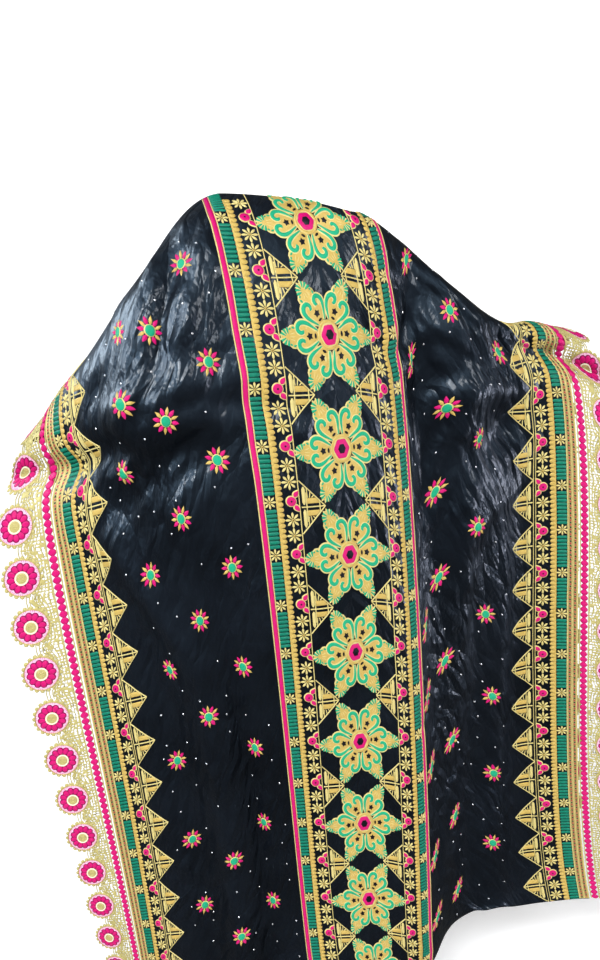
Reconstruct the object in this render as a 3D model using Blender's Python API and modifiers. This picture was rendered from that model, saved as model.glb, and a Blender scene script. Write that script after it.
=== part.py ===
"""Grand boubou: one wide length of waxed cloth folded over the shoulders, open at both sides, held out by the hands.

The cloth is measured flat in metres: `across` from the centre line of the front (+ towards +X), and `down`
from the shoulder fold. Each section table gives the hanging curve of one line of the cloth, from the fold to
the hem, as a ridge point, two handles and a hem point. Folds are added along the surface normal.
The front faces -Y, Z is up, and the origin is between the shoulders, where the wearer carries the robe.
"""

import bpy
import numpy as np

WALL = 0.0018  # waxed damask with its embroidery backing
TRIM = 0.0012  # ribbon, braid and cord
LACE = 0.0018  # guipure lace
SEAM = 0.0005  # clear space between neighbouring pieces
LIFT = 0.0008  # clear space under what lies on a panel, more than SEAM because it bends
FOLD_GAP = 0.0006  # each half starts this far from the shoulder fold

HALF_CLOTH = 0.583  # centre line to the cloth's side edge
NECK_HALF = 0.125
NECK_FRONT = 0.055
NECK_BACK = 0.065
NECK_SLIT = 0.002  # the halves part a little before the neckline opens
RIBBON = (0.139, 0.151)
BRAID = (0.560, 0.583)
CORD = (0.588, 0.604)
LACE_INNER = HALF_CLOTH + 2 * SEAM
NET_EDGE = 0.630  # where the lace's net band meets its rosettes
ROSETTE_CENTRE = 0.655
ROSETTE_RADIUS = 0.037
PITCH = 0.088  # one rosette, one side triangle
SAMPLES = 160  # steps along each hanging curve
TURN = np.radians(15)  # turns the tables' sections so that the front faces -Y

# across, then ridge, push, lift and hem, each x y z
FRONT = [
    (-0.700, -0.455, -0.045, -0.42, -0.59, -0.09, -0.435, -0.445, -0.16, -0.915, -0.385, 0.085, -1.625),
    (-0.565, -0.395, -0.09, -0.32, -0.41, -0.135, -0.46, -0.335, -0.14, -0.815, -0.29, 0.025, -1.595),
    (-0.450, -0.335, -0.15, -0.245, -0.335, -0.205, -0.375, -0.235, -0.17, -0.785, -0.215, -0.025, -1.555),
    (-0.300, -0.25, -0.12, -0.125, -0.26, -0.405, -0.235, -0.06, -0.095, -1.005, -0.115, -0.095, -1.52),
    (-0.150, -0.16, -0.055, -0.02, -0.06, -0.42, -0.15, -0.02, -0.025, -1.295, 0.02, -0.075, -1.51),
    (0.000, -0.03, -0.01, -0.02, 0.085, -0.31, -0.035, 0.09, -0.015, -1.485, 0.155, -0.03, -1.52),
    (0.150, 0.1, -0.03, -0.055, 0.165, -0.075, -0.05, 0.24, -0.105, -1.555, 0.25, 0.08, -1.505),
    (0.220, 0.15, -0.005, -0.09, 0.165, -0.04, -0.12, 0.28, -0.015, -1.53, 0.285, 0.12, -1.46),
    (0.320, 0.215, 0.01, -0.15, 0.31, -0.1, -0.17, 0.28, 0.15, -1.41, 0.365, 0.135, -1.44),
    (0.450, 0.32, 0.025, -0.225, 0.355, 0.045, -0.23, 0.38, 0.195, -1.18, 0.46, 0.2, -1.475),
    (0.565, 0.38, 0.095, -0.24, 0.49, 0.055, -0.235, 0.475, 0.19, -1.08, 0.575, 0.22, -1.475),
    (0.700, 0.475, 0.155, -0.27, 0.625, 0.08, -0.32, 0.57, 0.175, -0.845, 0.705, 0.25, -1.505),
]

# across, then push, lift and hem, each x y z; the ridge is the front's
BACK = [
    (-0.700, -0.46, 0.04, -0.42, -0.40, 0.02, -1.00, -0.33, 0.16, -1.56),
    (-0.450, -0.34, 0.05, -0.26, -0.27, 0.12, -0.90, -0.21, 0.17, -1.50),
    (-0.220, -0.21, 0.20, -0.10, -0.13, 0.24, -0.95, -0.08, 0.22, -1.48),
    (0.000, -0.03, 0.26, -0.05, 0.06, 0.27, -0.95, 0.12, 0.27, -1.49),
    (0.220, 0.15, 0.22, -0.12, 0.22, 0.30, -0.95, 0.28, 0.31, -1.46),
    (0.450, 0.34, 0.22, -0.26, 0.37, 0.33, -0.90, 0.44, 0.37, -1.42),
    (0.700, 0.53, 0.27, -0.32, 0.57, 0.32, -0.78, 0.64, 0.40, -1.43),
]

# across, how round the cloth lies over the shoulder or arm there
ROUND = [(-0.700, 0.040), (-0.450, 0.050), (-0.150, 0.035), (0.000, 0.030), (0.150, 0.035), (0.450, 0.050), (0.700, 0.040)]
ROUND_DOWN = 0.055  # length of cloth that turns over the arm
ROUND_SLOPE = 0.25  # fall towards the back, across the top of the arm
FADE = 0.045  # length of cloth below the shoulder fold in which folds fade out

# from across, up from hem, to across, up from hem, height (+ out), half width
FRONT_FOLDS = [
    (-0.74, 1.190, -0.50, 1.165, -0.040, 0.026),
    (-0.50, 1.165, -0.36, 1.190, -0.022, 0.030),
    (-0.16, 1.520, -0.33, 1.350, 0.014, 0.024),
    (-0.13, 1.470, -0.30, 1.300, -0.012, 0.026),
    (-0.43, 1.190, -0.17, 1.260, 0.020, 0.042),
    (-0.44, 1.090, -0.18, 1.170, -0.020, 0.040),
    (-0.47, 1.080, -0.32, 0.800, 0.015, 0.032),
    (-0.42, 0.850, -0.37, 0.020, -0.016, 0.036),
    (-0.33, 0.800, -0.31, 0.000, 0.016, 0.032),
    (-0.25, 0.950, -0.24, 0.000, -0.014, 0.030),
    (-0.26, 1.240, -0.06, 1.210, -0.008, 0.020),
    (0.74, 1.170, 0.53, 1.205, -0.034, 0.024),
    (0.53, 1.205, 0.42, 1.240, -0.018, 0.028),
    (0.47, 1.150, 0.25, 1.120, 0.016, 0.028),
    (0.48, 1.110, 0.27, 0.970, -0.018, 0.032),
    (0.49, 1.060, 0.30, 0.840, 0.016, 0.032),
    (0.07, 1.310, 0.25, 1.280, -0.008, 0.022),
    (0.43, 0.950, 0.38, 0.000, 0.016, 0.032),
    (0.35, 0.850, 0.31, 0.000, -0.014, 0.030),
    (0.50, 0.750, 0.47, 0.000, -0.012, 0.030),
]
BACK_FOLDS = [
    (-0.46, 1.150, -0.36, 0.000, 0.022, 0.040),
    (-0.28, 1.200, -0.24, 0.000, -0.020, 0.040),
    (-0.12, 1.100, -0.13, 0.000, 0.018, 0.040),
    (0.04, 1.200, 0.02, 0.000, -0.018, 0.040),
    (0.18, 1.100, 0.19, 0.000, 0.020, 0.040),
    (0.34, 1.150, 0.33, 0.000, -0.020, 0.040),
    (0.50, 1.050, 0.47, 0.000, 0.018, 0.040),
]

# grid lines of the cloth, across (one side) and down (share of the hanging length)
COLUMNS = [0.045, 0.083, 0.105, 0.125, 0.139, 0.151, 0.175, 0.20, 0.225, 0.25, 0.275, 0.30, 0.33]
COLUMNS += [0.36, 0.39, 0.42, 0.45, 0.485, 0.52, 0.56, 0.583]
BACK_COLUMNS = [0.04, 0.083, 0.125, 0.16, 0.20, 0.24, 0.28, 0.32, 0.36, 0.40, 0.44, 0.48, 0.52, 0.56, 0.583]
ROWS = [0.0, 0.012, 0.025, 0.038, 0.051, 0.064, 0.077, 0.09, 0.105, 0.12, 0.14, 0.165, 0.19, 0.22, 0.255, 0.29]
ROWS += [0.33, 0.37, 0.42, 0.47, 0.52, 0.57, 0.62, 0.68, 0.74, 0.80, 0.87, 0.935, 1.0]
BACK_ROWS = [0.0, 0.012, 0.025, 0.04, 0.06, 0.09, 0.13, 0.18, 0.24, 0.31, 0.38, 0.46, 0.54, 0.62]
BACK_ROWS += [0.70, 0.78, 0.86, 0.93, 1.0]
ARM_SHARE = 0.165  # down to here the lace has the cloth's own rows, because the cloth turns over the arm
# rows of one lace repeat, from its rosette's centre; the last pair is the bar between two gaps
LACE_ROWS = [-0.042, -0.029, -0.012, 0.012, 0.029, 0.042]
BACK_LACE_ROWS = [-0.042, -0.012, 0.012, 0.042]
LACE_PARTS = {"front": (0.40, 1.0), "back": (1.0,)}
FOLDS = {"front": FRONT_FOLDS, "back": BACK_FOLDS}


def smooth_between(rows, at):
    """Values of a table at `at`, with slopes taken from the neighbouring rows."""
    rows = np.array(rows, float)
    key, values = rows[:, 0], rows[:, 1:]
    step = np.diff(key)[:, None]
    slope = np.diff(values, axis=0) / step
    tangent = np.empty_like(values)
    tangent[0], tangent[-1] = slope[0], slope[-1]
    tangent[1:-1] = (slope[:-1] * step[1:] + slope[1:] * step[:-1]) / (step[1:] + step[:-1])
    at = np.atleast_1d(np.asarray(at, float))
    i = np.clip(np.searchsorted(key, at) - 1, 0, len(key) - 2)
    h = step[i]
    s = ((at - key[i])[:, None]) / h
    a = 2 * s**3 - 3 * s**2 + 1
    b = s**3 - 2 * s**2 + s
    c = -2 * s**3 + 3 * s**2
    d = s**3 - s**2
    return a * values[i] + b * h * tangent[i] + c * values[i + 1] + d * h * tangent[i + 1]


def section_handles(layer, across):
    """Ridge, push, lift and hem points of the sections at `across`."""
    front = smooth_between(FRONT, across).reshape(-1, 4, 3)
    if layer == "front":
        return front
    back = smooth_between(BACK, across).reshape(-1, 3, 3)
    return np.concatenate([front[:, :1], back], axis=1)


def hanging_curves(layer, across):
    """Points along each section and their distance from the fold."""
    handles = section_handles(layer, across)
    t = np.linspace(0, 1, SAMPLES + 1) ** 1.5
    weights = np.stack([(1 - t) ** 3, 3 * t * (1 - t) ** 2, 3 * t**2 * (1 - t), t**3], axis=1)
    points = np.einsum("tc,kcd->ktd", weights, handles)
    steps = np.linalg.norm(np.diff(points, axis=1), axis=2)
    distance = np.concatenate([np.zeros((len(points), 1)), np.cumsum(steps, axis=1)], axis=1)
    turn = np.clip(distance / ROUND_DOWN, 0, 1)
    forward = np.sqrt(1 - (1 - turn) ** 2)
    roundness = smooth_between(ROUND, across)
    over = roundness * (1 - forward if layer == "front" else 1 + forward)
    points[:, :, 1] += over
    points[:, :, 2] -= ROUND_SLOPE * over
    steps = np.linalg.norm(np.diff(points, axis=1), axis=2)
    distance = np.concatenate([np.zeros((len(points), 1)), np.cumsum(steps, axis=1)], axis=1)
    return points, distance


def hanging_length(layer, across):
    return hanging_curves(layer, across)[1][:, -1]


def smooth_form(layer, across, down):
    """Points of the cloth without folds, for arrays of flat places."""
    across, down = np.broadcast_arrays(np.asarray(across, float), np.asarray(down, float))
    columns, index = np.unique(across.ravel(), return_inverse=True)
    points, distance = hanging_curves(layer, columns)
    found = np.empty((across.size, 3))
    for k in range(len(columns)):
        here = np.flatnonzero(index == k)
        for axis in range(3):
            found[here, axis] = np.interp(down.ravel()[here], distance[k], points[k, :, axis])
    x, y = found[:, 0].copy(), found[:, 1].copy()
    found[:, 0] = x * np.cos(TURN) + y * np.sin(TURN)
    found[:, 1] = y * np.cos(TURN) - x * np.sin(TURN)
    return found.reshape(across.shape + (3,))


def fold_height(folds, across, up, down):
    """Sum of the folds at flat places given up from the hem; they fade out at the shoulder fold."""
    total = np.zeros(np.shape(across))
    for a0, u0, a1, u1, height, width in folds:
        da, du = a1 - a0, u1 - u0
        along = ((across - a0) * da + (up - u0) * du) / (da * da + du * du)
        held = np.clip(along, 0, 1)
        away = np.hypot(across - a0 - held * da, up - u0 - held * du)
        taper = np.clip(np.minimum(held + 0.12, 1.12 - held) / 0.30, 0.25, 1)
        total += height * taper * np.exp(-((away / width) ** 2))
    return total * np.clip(down / FADE, 0, 1) ** 2


def outward(layer, across, down):
    """Unit normals of the smooth form, pointing away from the wearer."""
    step = 0.004
    da = smooth_form(layer, across + step, down) - smooth_form(layer, across - step, down)
    dd = smooth_form(layer, across, down + step) - smooth_form(layer, across, np.maximum(down - step, 0))
    normal = np.cross(dd, da) if layer == "front" else np.cross(da, dd)
    return normal / np.linalg.norm(normal, axis=-1, keepdims=True)


def draped(layer, across, down, out=0.0):
    """Points of the folded cloth, moved `out` from its middle surface."""
    length = np.vectorize(dict(zip(*length_table(layer, across))).get)(across)
    height = fold_height(FOLDS[layer], across, length - down, down)
    points = smooth_form(layer, across, down) + outward(layer, across, down) * height[..., None]
    if out == 0.0:
        return points
    return points + grid_normals(points, layer) * out


def length_table(layer, across):
    columns = np.unique(across)
    return columns, hanging_length(layer, columns)


def grid_normals(points, layer):
    """Unit normals of a grid of points, columns first."""
    one, two = points[1:, 1:] - points[:-1, :-1], points[:-1, 1:] - points[1:, :-1]
    face = np.cross(two, one) if layer == "front" else np.cross(one, two)
    face /= np.linalg.norm(face, axis=-1, keepdims=True)
    total = np.zeros_like(points)
    for i in (0, 1):
        for j in (0, 1):
            total[i : i + face.shape[0], j : j + face.shape[1]] += face
    return total / np.linalg.norm(total, axis=-1, keepdims=True)


def neck_start(layer, across):
    """How far down each line of cloth begins: the boat neckline, or just past the shoulder fold."""
    depth = NECK_FRONT if layer == "front" else NECK_BACK
    inside = np.clip(1 - (np.abs(across) / NECK_HALF) ** 3, 0, 1)
    corner = NECK_SLIT * np.clip((NECK_HALF + 0.045 - np.abs(across)) / 0.03, 0, 1)
    return FOLD_GAP + corner + depth * np.sqrt(inside)


def sheet_grid(layer, columns, shares):
    """Flat places of a grid from the neckline or fold to the hem."""
    columns = np.asarray(columns, float)
    start = neck_start(layer, columns)[:, None]
    length = hanging_length(layer, columns)[:, None]
    down = start + (length - start) * np.asarray(shares)[None, :]
    return np.repeat(columns[:, None], len(shares), axis=1), down


def both_sides(half):
    return [-a for a in reversed(half)] + [0.0] + list(half)


def new_material(name, colour, roughness, metallic=0.0):
    material = bpy.data.materials.new(name)
    material.use_nodes = True
    shader = material.node_tree.nodes["Principled BSDF"]
    shader.inputs["Base Color"].default_value = (*colour, 1.0)
    shader.inputs["Roughness"].default_value = roughness
    shader.inputs["Metallic"].default_value = metallic
    return material


def shell(name, points, wall, material, collection, skip=()):
    """An open grid of quads made a closed wall by Solidify. `skip` lists quads left open."""
    columns, rows = points.shape[:2]
    faces = []
    for i in range(columns - 1):
        for j in range(rows - 1):
            if (i, j) not in skip:
                a, b = i * rows + j, (i + 1) * rows + j
                faces.append((a, a + 1, b + 1, b))
    used = sorted({v for face in faces for v in face})
    renumber = {v: k for k, v in enumerate(used)}
    faces = [tuple(renumber[v] for v in face) for face in faces]
    mesh = bpy.data.meshes.new(name)
    mesh.from_pydata(points.reshape(-1, 3)[used].tolist(), [], faces)
    mesh.materials.append(material)
    mesh.shade_smooth()
    body = bpy.data.objects.new(name, mesh)
    collection.objects.link(body)
    solidify = body.modifiers.new("Wall", "SOLIDIFY")
    solidify.thickness = wall
    solidify.offset = 0.0
    return body


def strip(name, layer, side, edges, shares, out, material, collection):
    """A ribbon over the cloth, made from the cloth's own grid lines moved out."""
    half = COLUMNS if layer == "front" else BACK_COLUMNS
    inner, outer = half.index(edges[0]), half.index(edges[1])
    around = half[max(inner - 1, 0) : outer + 2]
    columns = [side * a for a in (around if side > 0 else list(reversed(around)))]
    across, down = sheet_grid(layer, columns, shares)
    points = draped(layer, across, down, out)
    keep = [i for i, a in enumerate(columns) if edges[0] - 1e-6 <= abs(a) <= edges[1] + 1e-6]
    return shell(name, points[keep[0] : keep[-1] + 1], TRIM, material, collection)


def lace_edge(offset):
    """Outer edge of the lace at a distance along from its rosette's centre."""
    notch = 0.014 * (np.abs(offset) > 0.04)
    return ROSETTE_CENTRE + np.sqrt(np.clip(ROSETTE_RADIUS**2 - offset**2, 0, None)) - notch


def lace_rows(layer, side, repeat_rows):
    """Shares of the hanging length for the lace's rows, and each row's offset from its rosette's centre."""
    shares = ROWS if layer == "front" else BACK_ROWS
    length = float(hanging_length(layer, [side * ROSETTE_CENTRE])[0])
    over_arm = [s for s in shares if s <= ARM_SHARE]
    repeats = int(length * (1 - ARM_SHARE) / PITCH)
    up = [PITCH * (k + 0.5) + row for k in range(repeats) for row in repeat_rows]
    up = [u for u in up if u < length * (1 - ARM_SHARE) - 0.008]
    share = np.array(over_arm + [1 - u / length for u in reversed(up)] + [1.0])
    share[0] = FOLD_GAP / length
    offset = (((1 - share) * length / PITCH) % 1 - 0.5) * PITCH
    offset[-1] = 0.042
    return share, offset


def make_lace(layer, side, lace, cord, collection):
    """A lace strip beside the cloth's edge, with the gaps between its rosettes, and the cord that lies on it."""
    word = "left" if side < 0 else "right"
    share, offset = lace_rows(layer, side, LACE_ROWS if layer == "front" else BACK_LACE_ROWS)
    outer = lace_edge(offset)
    lines = [np.full(len(share), a) for a in (LACE_INNER, CORD[0], CORD[1], NET_EDGE)]
    lines += [NET_EDGE + (outer - NET_EDGE) * part for part in LACE_PARTS[layer]]
    across = side * np.stack(lines if side > 0 else lines[::-1])
    length = np.stack([hanging_length(layer, line) for line in across])
    down = length * share
    height = fold_height(FOLDS[layer], across, length - down, down)
    points = smooth_form(layer, across, down) + outward(layer, across, down) * height[..., None]
    gap_line = 3 if side > 0 else len(lines) - 5
    skip = set()
    if layer == "front":
        for j in range(len(ROWS), len(offset) - 2):
            near, far = sorted(np.abs(offset[j : j + 2]))
            if 0.028 < near < 0.030 and far > 0.041:
                skip.add((gap_line, j))
    shell(f"lace_{layer}_{word}", points, LACE, lace, collection, skip)
    place = slice(1, 3) if side > 0 else slice(len(lines) - 3, len(lines) - 1)
    above = points + grid_normals(points, layer) * (LACE / 2 + LIFT + TRIM / 2)
    shell(f"cord_{layer}_{word}", above[place], TRIM, cord, collection)


def main():
    for old in list(bpy.data.objects):
        bpy.data.objects.remove(old, do_unlink=True)
    collection = bpy.data.collections.new("grand_boubou")
    bpy.context.scene.collection.children.link(collection)

    damask = new_material("black_damask", (0.012, 0.013, 0.020), 0.32)
    ribbon = new_material("magenta_ribbon", (0.72, 0.03, 0.26), 0.45)
    braid = new_material("gold_braid", (0.66, 0.50, 0.20), 0.50)
    cord = new_material("magenta_cord", (0.78, 0.02, 0.28), 0.50)
    lace = new_material("gold_lace", (0.72, 0.62, 0.36), 0.60)

    above = WALL / 2 + LIFT + TRIM / 2
    for layer, half, shares in (("front", COLUMNS, ROWS), ("back", BACK_COLUMNS, BACK_ROWS)):
        across, down = sheet_grid(layer, both_sides(half), shares)
        shell(f"cloth_{layer}", draped(layer, across, down), WALL, damask, collection)
        for side, word in ((-1, "left"), (1, "right")):
            if layer == "front":
                strip(f"ribbon_{word}", layer, side, RIBBON, shares, above, ribbon, collection)
            strip(f"braid_{layer}_{word}", layer, side, BRAID, shares, above, braid, collection)
            make_lace(layer, side, lace, cord, collection)


main()
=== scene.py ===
import bpy
import numpy as np
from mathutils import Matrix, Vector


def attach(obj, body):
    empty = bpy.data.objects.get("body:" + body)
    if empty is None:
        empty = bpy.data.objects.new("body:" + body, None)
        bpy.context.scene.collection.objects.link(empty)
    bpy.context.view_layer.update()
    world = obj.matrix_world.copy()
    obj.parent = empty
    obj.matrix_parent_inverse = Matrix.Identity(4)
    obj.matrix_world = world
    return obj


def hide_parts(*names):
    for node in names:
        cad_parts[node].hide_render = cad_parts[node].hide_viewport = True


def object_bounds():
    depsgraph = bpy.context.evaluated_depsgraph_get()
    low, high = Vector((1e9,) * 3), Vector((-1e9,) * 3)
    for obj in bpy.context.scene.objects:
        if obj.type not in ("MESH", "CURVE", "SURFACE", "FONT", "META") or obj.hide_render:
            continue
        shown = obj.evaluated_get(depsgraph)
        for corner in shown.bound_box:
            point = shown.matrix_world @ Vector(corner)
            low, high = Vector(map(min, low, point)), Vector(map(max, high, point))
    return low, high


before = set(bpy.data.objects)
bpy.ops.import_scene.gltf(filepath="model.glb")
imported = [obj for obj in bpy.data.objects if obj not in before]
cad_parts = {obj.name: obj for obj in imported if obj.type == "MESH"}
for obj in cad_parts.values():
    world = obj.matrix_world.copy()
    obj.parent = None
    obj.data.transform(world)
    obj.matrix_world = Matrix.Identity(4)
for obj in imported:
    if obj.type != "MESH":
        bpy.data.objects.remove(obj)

cad_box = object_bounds()

# Camera
scene = bpy.context.scene
scene.view_settings.view_transform = "Standard"

lens = bpy.data.cameras.new("camera")
lens.lens = 47.25
lens.sensor_width = 36.0
lens.sensor_fit = "AUTO"
lens.clip_start = 0.05
lens.clip_end = 200.0
camera = bpy.data.objects.new("camera", lens)
camera.location = (-0.527, -1.929, 0.160)
camera.rotation_euler = (np.radians(72), 0.0, np.radians(-15))
scene.collection.objects.link(camera)
scene.camera = camera

# The robe's form, as in the CAD source, in metres
HALF_CLOTH = 0.583
NECK_HALF = 0.125
NECK_FRONT = 0.055
NECK_BACK = 0.065
CHAIN_AT = 0.5960
LACE_EDGES = (0.5872, 0.6060)
NET_INNER = 0.6065
LEAVES_AT = 0.6235
ROSETTE_CENTRE = 0.655
PITCH = 0.088  # one repeat of the borders
MEDALLION_PITCH = 0.176
COLUMN = 0.006073  # from one column of a sheet's grid to the next
SAMPLES = 160
TURN = np.radians(15)

# across, then ridge, push, lift and hem, each x y z
FRONT = [
    (-0.700, -0.455, -0.045, -0.42, -0.59, -0.09, -0.435, -0.445, -0.16, -0.915, -0.385, 0.085, -1.625),
    (-0.565, -0.395, -0.09, -0.32, -0.41, -0.135, -0.46, -0.335, -0.14, -0.815, -0.29, 0.025, -1.595),
    (-0.450, -0.335, -0.15, -0.245, -0.335, -0.205, -0.375, -0.235, -0.17, -0.785, -0.215, -0.025, -1.555),
    (-0.300, -0.25, -0.12, -0.125, -0.26, -0.405, -0.235, -0.06, -0.095, -1.005, -0.115, -0.095, -1.52),
    (-0.150, -0.16, -0.055, -0.02, -0.06, -0.42, -0.15, -0.02, -0.025, -1.295, 0.02, -0.075, -1.51),
    (0.000, -0.03, -0.01, -0.02, 0.085, -0.31, -0.035, 0.09, -0.015, -1.485, 0.155, -0.03, -1.52),
    (0.150, 0.1, -0.03, -0.055, 0.165, -0.075, -0.05, 0.24, -0.105, -1.555, 0.25, 0.08, -1.505),
    (0.220, 0.15, -0.005, -0.09, 0.165, -0.04, -0.12, 0.28, -0.015, -1.53, 0.285, 0.12, -1.46),
    (0.320, 0.215, 0.01, -0.15, 0.31, -0.1, -0.17, 0.28, 0.15, -1.41, 0.365, 0.135, -1.44),
    (0.450, 0.32, 0.025, -0.225, 0.355, 0.045, -0.23, 0.38, 0.195, -1.18, 0.46, 0.2, -1.475),
    (0.565, 0.38, 0.095, -0.24, 0.49, 0.055, -0.235, 0.475, 0.19, -1.08, 0.575, 0.22, -1.475),
    (0.700, 0.475, 0.155, -0.27, 0.625, 0.08, -0.32, 0.57, 0.175, -0.845, 0.705, 0.25, -1.505),
]

# across, then push, lift and hem, each x y z; the ridge is the front's
BACK = [
    (-0.700, -0.46, 0.04, -0.42, -0.40, 0.02, -1.00, -0.33, 0.16, -1.56),
    (-0.450, -0.34, 0.05, -0.26, -0.27, 0.12, -0.90, -0.21, 0.17, -1.50),
    (-0.220, -0.21, 0.20, -0.10, -0.13, 0.24, -0.95, -0.08, 0.22, -1.48),
    (0.000, -0.03, 0.26, -0.05, 0.06, 0.27, -0.95, 0.12, 0.27, -1.49),
    (0.220, 0.15, 0.22, -0.12, 0.22, 0.30, -0.95, 0.28, 0.31, -1.46),
    (0.450, 0.34, 0.22, -0.26, 0.37, 0.33, -0.90, 0.44, 0.37, -1.42),
    (0.700, 0.53, 0.27, -0.32, 0.57, 0.32, -0.78, 0.64, 0.40, -1.43),
]

# across, how round the cloth lies over the shoulder or arm there
ROUND = [
    (-0.700, 0.040),
    (-0.450, 0.050),
    (-0.150, 0.035),
    (0.000, 0.030),
    (0.150, 0.035),
    (0.450, 0.050),
    (0.700, 0.040),
]
ROUND_DOWN = 0.055
ROUND_SLOPE = 0.25
FADE = 0.045  # folds fade out this near the shoulder fold
CRUMPLE_FADE = 0.05  # and crumples this near

# from across, up from hem, to across, up from hem, height (+ out), half width
FRONT_FOLDS = [
    (-0.74, 1.190, -0.50, 1.165, -0.031, 0.030),
    (-0.50, 1.165, -0.36, 1.190, -0.022, 0.030),
    (-0.25, 1.460, -0.36, 1.220, 0.011, 0.026),
    (-0.20, 1.480, -0.29, 1.270, -0.013, 0.018),
    (-0.16, 1.480, -0.245, 1.290, 0.012, 0.020),
    (-0.43, 1.190, -0.17, 1.260, 0.020, 0.042),
    (-0.44, 1.090, -0.18, 1.170, -0.020, 0.040),
    (-0.47, 1.080, -0.32, 0.800, 0.015, 0.032),
    (-0.42, 0.850, -0.37, 0.020, -0.016, 0.036),
    (-0.33, 0.800, -0.31, 0.000, 0.016, 0.032),
    (-0.25, 0.950, -0.24, 0.000, -0.014, 0.030),
    (-0.26, 1.240, -0.06, 1.210, -0.008, 0.020),
    (0.74, 1.170, 0.53, 1.205, -0.034, 0.024),
    (0.53, 1.205, 0.42, 1.240, -0.018, 0.028),
    (0.47, 1.150, 0.25, 1.120, 0.016, 0.028),
    (0.48, 1.110, 0.27, 0.970, -0.011, 0.034),
    (0.49, 1.060, 0.30, 0.840, 0.011, 0.034),
    (0.07, 1.310, 0.25, 1.280, -0.008, 0.022),
    (0.43, 0.950, 0.38, 0.000, 0.016, 0.032),
    (0.35, 0.850, 0.31, 0.000, -0.014, 0.030),
    (0.50, 0.750, 0.47, 0.000, -0.004, 0.030),
]
BACK_FOLDS = [
    (-0.46, 1.150, -0.36, 0.000, 0.022, 0.040),
    (-0.28, 1.200, -0.24, 0.000, -0.020, 0.040),
    (-0.12, 1.100, -0.13, 0.000, 0.018, 0.040),
    (0.04, 1.200, 0.02, 0.000, -0.018, 0.040),
    (0.18, 1.100, 0.19, 0.000, 0.020, 0.040),
    (0.34, 1.150, 0.33, 0.000, -0.020, 0.040),
    (0.50, 1.050, 0.47, 0.000, 0.018, 0.040),
]
FOLDS = {"front": FRONT_FOLDS, "back": BACK_FOLDS}


def smooth_between(rows, at):
    """Values of a table at `at`, with slopes taken from the neighbouring rows."""
    rows = np.array(rows, float)
    key, values = rows[:, 0], rows[:, 1:]
    step = np.diff(key)[:, None]
    slope = np.diff(values, axis=0) / step
    tangent = np.empty_like(values)
    tangent[0], tangent[-1] = slope[0], slope[-1]
    tangent[1:-1] = (slope[:-1] * step[1:] + slope[1:] * step[:-1]) / (step[1:] + step[:-1])
    at = np.atleast_1d(np.asarray(at, float))
    i = np.clip(np.searchsorted(key, at) - 1, 0, len(key) - 2)
    h = step[i]
    s = ((at - key[i])[:, None]) / h
    a = 2 * s**3 - 3 * s**2 + 1
    b = s**3 - 2 * s**2 + s
    c = -2 * s**3 + 3 * s**2
    d = s**3 - s**2
    return a * values[i] + b * h * tangent[i] + c * values[i + 1] + d * h * tangent[i + 1]


def distance_along(points):
    steps = np.linalg.norm(np.diff(points, axis=1), axis=2)
    return np.concatenate([np.zeros((len(points), 1)), np.cumsum(steps, axis=1)], axis=1)


def hanging_curves(layer, across):
    """Points along each section and their distance from the fold."""
    handles = smooth_between(FRONT, across).reshape(-1, 4, 3)
    if layer == "back":
        back = smooth_between(BACK, across).reshape(-1, 3, 3)
        handles = np.concatenate([handles[:, :1], back], axis=1)
    t = np.linspace(0, 1, SAMPLES + 1) ** 1.5
    weights = np.stack([(1 - t) ** 3, 3 * t * (1 - t) ** 2, 3 * t**2 * (1 - t), t**3], axis=1)
    points = np.einsum("tc,kcd->ktd", weights, handles)
    turn = np.clip(distance_along(points) / ROUND_DOWN, 0, 1)
    forward = np.sqrt(1 - (1 - turn) ** 2)
    roundness = smooth_between(ROUND, across)
    over = roundness * (1 - forward if layer == "front" else 1 + forward)
    points[:, :, 1] += over
    points[:, :, 2] -= ROUND_SLOPE * over
    return points, distance_along(points)


def fold_height(folds, across, up, down):
    """Sum of the folds at flat places given up from the hem; they fade out at the shoulder fold."""
    total = np.zeros(np.shape(across))
    for a0, u0, a1, u1, height, width in folds:
        da, du = a1 - a0, u1 - u0
        along = ((across - a0) * da + (up - u0) * du) / (da * da + du * du)
        held = np.clip(along, 0, 1)
        away = np.hypot(across - a0 - held * da, up - u0 - held * du)
        taper = np.clip(np.minimum(held + 0.12, 1.12 - held) / 0.30, 0.25, 1)
        total += height * taper * np.exp(-((away / width) ** 2))
    return total * np.clip(down / FADE, 0, 1) ** 2


def grid_normals(points, layer):
    """Unit normals of a grid of points, columns first."""
    one, two = points[1:, 1:] - points[:-1, :-1], points[:-1, 1:] - points[1:, :-1]
    face = np.cross(two, one) if layer == "front" else np.cross(one, two)
    face /= np.linalg.norm(face, axis=-1, keepdims=True)
    total = np.zeros_like(points)
    for i in (0, 1):
        for j in (0, 1):
            total[i : i + face.shape[0], j : j + face.shape[1]] += face
    return total / np.linalg.norm(total, axis=-1, keepdims=True)


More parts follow.
